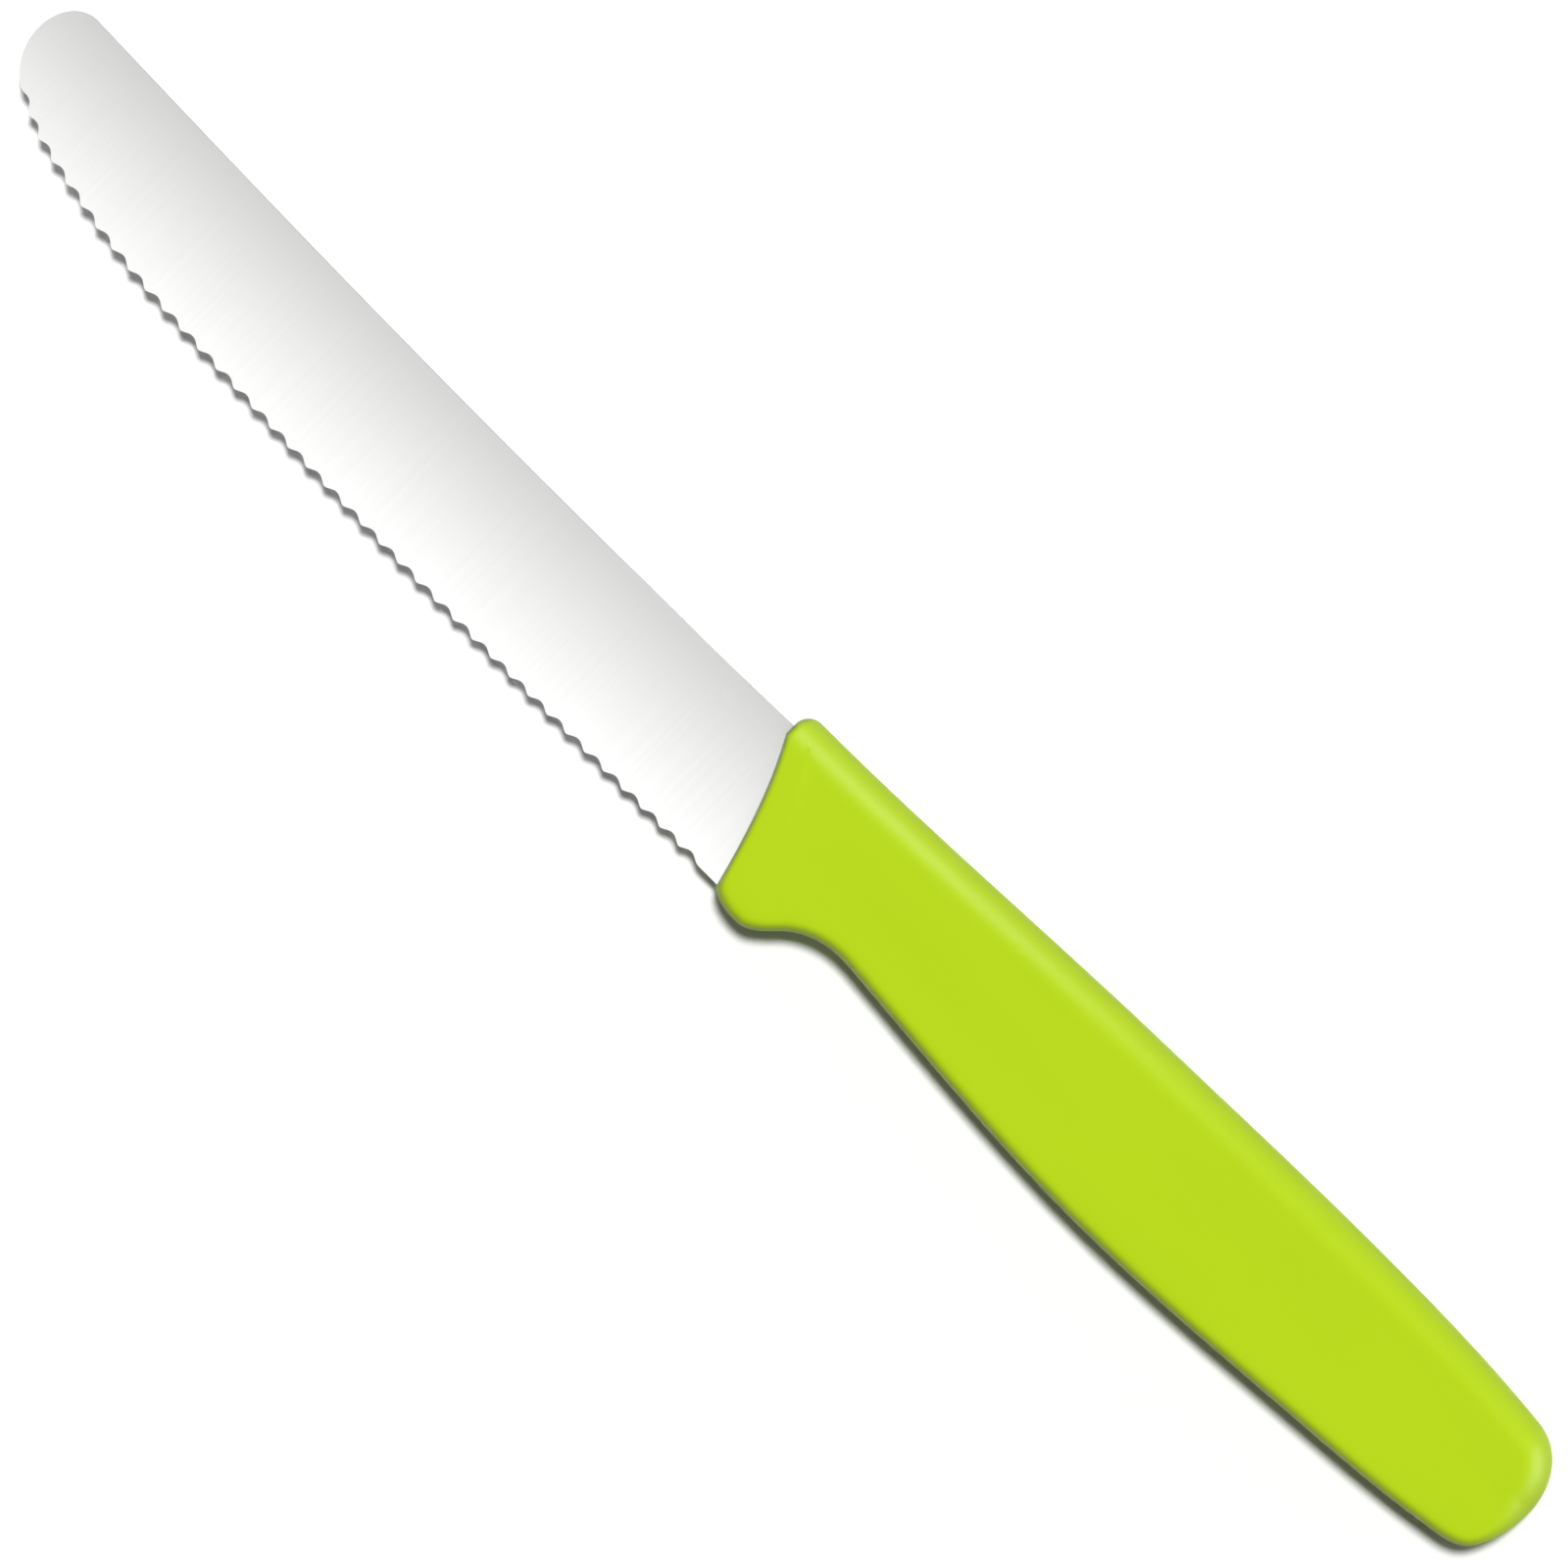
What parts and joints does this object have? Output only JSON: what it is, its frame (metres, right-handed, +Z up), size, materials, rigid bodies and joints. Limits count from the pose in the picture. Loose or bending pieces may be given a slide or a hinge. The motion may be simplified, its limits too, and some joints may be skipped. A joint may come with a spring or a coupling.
{
  "type": "serrated utility knife",
  "caption": "Small kitchen knife with a round-tipped, scalloped steel blade and a one-piece moulded lime-green plastic handle with a finger lip.",
  "frame": {"origin": "under the middle of the knife's bounding box, on the surface that it lies on with its right side down", "axes": "+X from the tip to the butt, +Y from the cutting edge to the spine, +Z up through the thickness"},
  "size_m": [0.2146, 0.0228, 0.012],
  "materials": {
    "blade_steel": "satin stainless steel, brushed across the blade",
    "handle_plastic": "lime-green polypropylene with a satin moulded surface"
  },
  "bodies": {
    "root": {"blade": "blade_steel", "handle": "handle_plastic"}
  },
  "joints": []
}
